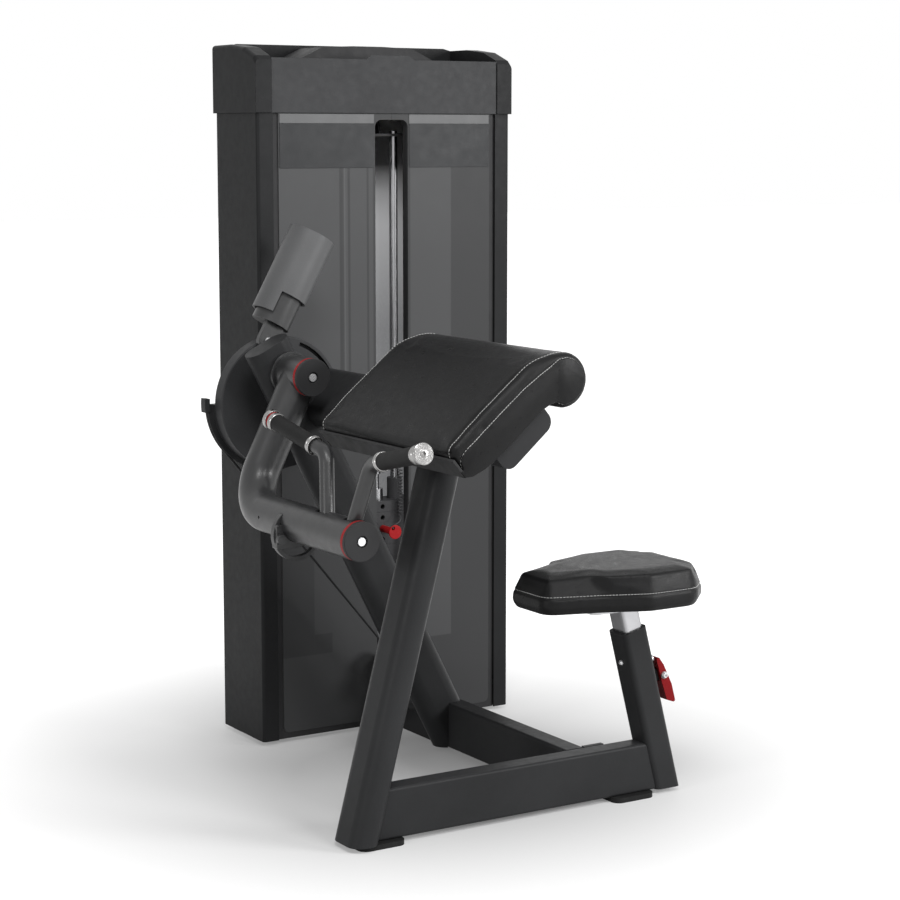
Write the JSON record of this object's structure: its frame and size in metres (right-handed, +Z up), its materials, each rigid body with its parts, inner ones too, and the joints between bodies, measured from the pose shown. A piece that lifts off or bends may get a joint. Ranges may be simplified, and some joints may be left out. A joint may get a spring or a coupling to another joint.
{
  "type": "biceps curl machine",
  "caption": "Seated biceps curl machine with a sloped arm pad, swinging lever arm with grips and counterweight, adjustable seat and a selectorised weight stack tower",
  "frame": {"origin": "on the floor under the middle of the machine's outer box", "axes": "+Z up; +Y from the user's side toward the weight tower's rear; +X toward the seat, from the arm's side"},
  "size_m": [0.8887, 1.181, 1.542],
  "materials": {
    "charcoal_paint": "satin powder coat with a fine grain",
    "inner_paint": "light satin paint",
    "sleeve_paint": "satin powder coat, lighter than the frame",
    "smoked_panel": "semi-gloss smoked panel",
    "header_plate": "semi-gloss bare plate",
    "black_plastic": "fine moulded grain",
    "red_plastic": "satin",
    "red_paint": "satin powder coat",
    "plate_paint": "grey paint over cast plates",
    "bright_steel": "ground and polished",
    "chrome_bolts": "polished",
    "turned_aluminium": "turned rings",
    "black_rubber": "matte",
    "cable_jacket": "smooth sheath over wire rope",
    "lanyard_wire": "grey coated curly wire",
    "black_leather": "fine grained upholstery with grey stitching"
  },
  "bodies": {
    "frame": {"side_shrouds": "charcoal_paint", "rear_shroud": "inner_paint", "panel_channels": "black_plastic", "slot_trim": "black_plastic", "front_panel_left": "smoked_panel", "front_panel_right": "smoked_panel", "front_trim": "header_plate", "crown_shell": "charcoal_paint", "crown_tray": "black_plastic", "crown_fascia": "charcoal_paint", "link_beam": "charcoal_paint", "tower_base": "charcoal_paint", "tower_frame": "charcoal_paint", "resting_plates": "plate_paint", "guide_rods": "bright_steel", "stack_bumpers": "black_rubber", "tower_cable": "cable_jacket", "drive_cable": "cable_jacket", "lift_cable": "cable_jacket", "pulley_brackets": "charcoal_paint", "front_beam": "charcoal_paint", "front_post": "charcoal_paint", "main_post": "charcoal_paint", "seat_tube": "charcoal_paint", "foot_pads": "black_rubber", "crossbar": "charcoal_paint", "bearing_housing": "charcoal_paint", "arm_pad": "black_leather", "pad_shell": "black_plastic", "seat_bush": "black_plastic", "frame_bolts": "chrome_bolts"},
    "arm": {"curl_arm": "charcoal_paint", "arm_axle": "chrome_bolts", "accent_rings": "red_plastic", "end_caps": "black_plastic", "rest_hoop": "charcoal_paint", "cam_disc": "charcoal_paint", "cable_track": "charcoal_paint", "cam_cable": "cable_jacket", "weight_core": "charcoal_paint", "weight_sleeve": "sleeve_paint", "weight_bar": "charcoal_paint", "shaft_bush": "black_plastic"},
    "handles": {"handle_frame": "charcoal_paint", "grips": "black_rubber", "grip_collars": "turned_aluminium"},
    "stack": {"head_plate": "plate_paint", "carried_plates": "plate_paint", "selector_rod": "bright_steel", "lanyard": "lanyard_wire"},
    "pin": {"selector_pin": "bright_steel", "pin_handle": "red_plastic"},
    "outer_pulley": {"low_pulley_outer": "black_plastic"},
    "inner_pulley": {"low_pulley_inner": "black_plastic"},
    "upper_pulley": {"top_pulley": "black_plastic"},
    "seat": {"seat_pad": "black_leather", "seat_post": "bright_steel"},
    "lever": {"seat_lever": "red_paint"},
    "lock": {"lock_pin": "bright_steel"}
  },
  "joints": [
    {"name": "arm_swing", "type": "hinge", "parent": "frame", "child": "arm", "pos_m": [-0.2647, 0.1655, 0.858], "axis": [0, 1, 0], "range_deg": [0, 125], "deforming": ["drive_cable"]},
    {"name": "stack_lift", "type": "slide", "parent": "frame", "child": "stack", "axis": [0, 0, 1], "range_m": [0, 0.33], "deforming": ["lift_cable"]},
    {"name": "pin_pull", "type": "slide", "parent": "stack", "child": "pin", "axis": [0, -1, 0], "range_m": [0, 0.08]},
    {"name": "outer_pulley_spin", "type": "hinge", "parent": "frame", "child": "outer_pulley", "pos_m": [0.09865, 0.3325, 0.16069], "axis": [0.7673, 0, 0.6413], "range_deg": [-480, 10]},
    {"name": "inner_pulley_spin", "type": "hinge", "parent": "frame", "child": "inner_pulley", "pos_m": [0.1243, 0.4985, 0.17], "axis": [1, 0, 0], "range_deg": [-480, 10]},
    {"name": "upper_pulley_spin", "type": "hinge", "parent": "frame", "child": "upper_pulley", "pos_m": [0.1243, 0.4985, 1.43], "axis": [1, 0, 0], "range_deg": [-480, 10]},
    {"name": "handle_rock", "type": "hinge", "parent": "arm", "child": "handles", "pos_m": [-0.39139, -0.2945, 0.59825], "axis": [0, 1, 0], "range_deg": [0, 10]},
    {"name": "seat_height", "type": "slide", "parent": "frame", "child": "seat", "axis": [-0.2521, 0, 0.9677], "range_m": [-0.04, 0.1]},
    {"name": "seat_lever_turn", "type": "hinge", "parent": "frame", "child": "lever", "pos_m": [0.3413, -0.3335, 0.245], "axis": [0, 1, 0], "range_deg": [0, 15], "stiffness_Nm_per_rad": 3, "springref_deg": -17.19},
    {"name": "lock_pin_slide", "type": "slide", "parent": "frame", "child": "lock", "axis": [0.9677, 0, 0.2521], "range_m": [0, 0.006]}
  ],
  "couplings": [
    {"joint": "stack_lift", "follows": "arm_swing", "m_per_rad": 0.15},
    {"joint": "outer_pulley_spin", "follows": "arm_swing", "ratio": -3.75},
    {"joint": "inner_pulley_spin", "follows": "arm_swing", "ratio": -3.75},
    {"joint": "upper_pulley_spin", "follows": "arm_swing", "ratio": -3.75},
    {"joint": "lock_pin_slide", "follows": "seat_lever_turn", "m_per_rad": 0.019}
  ]
}
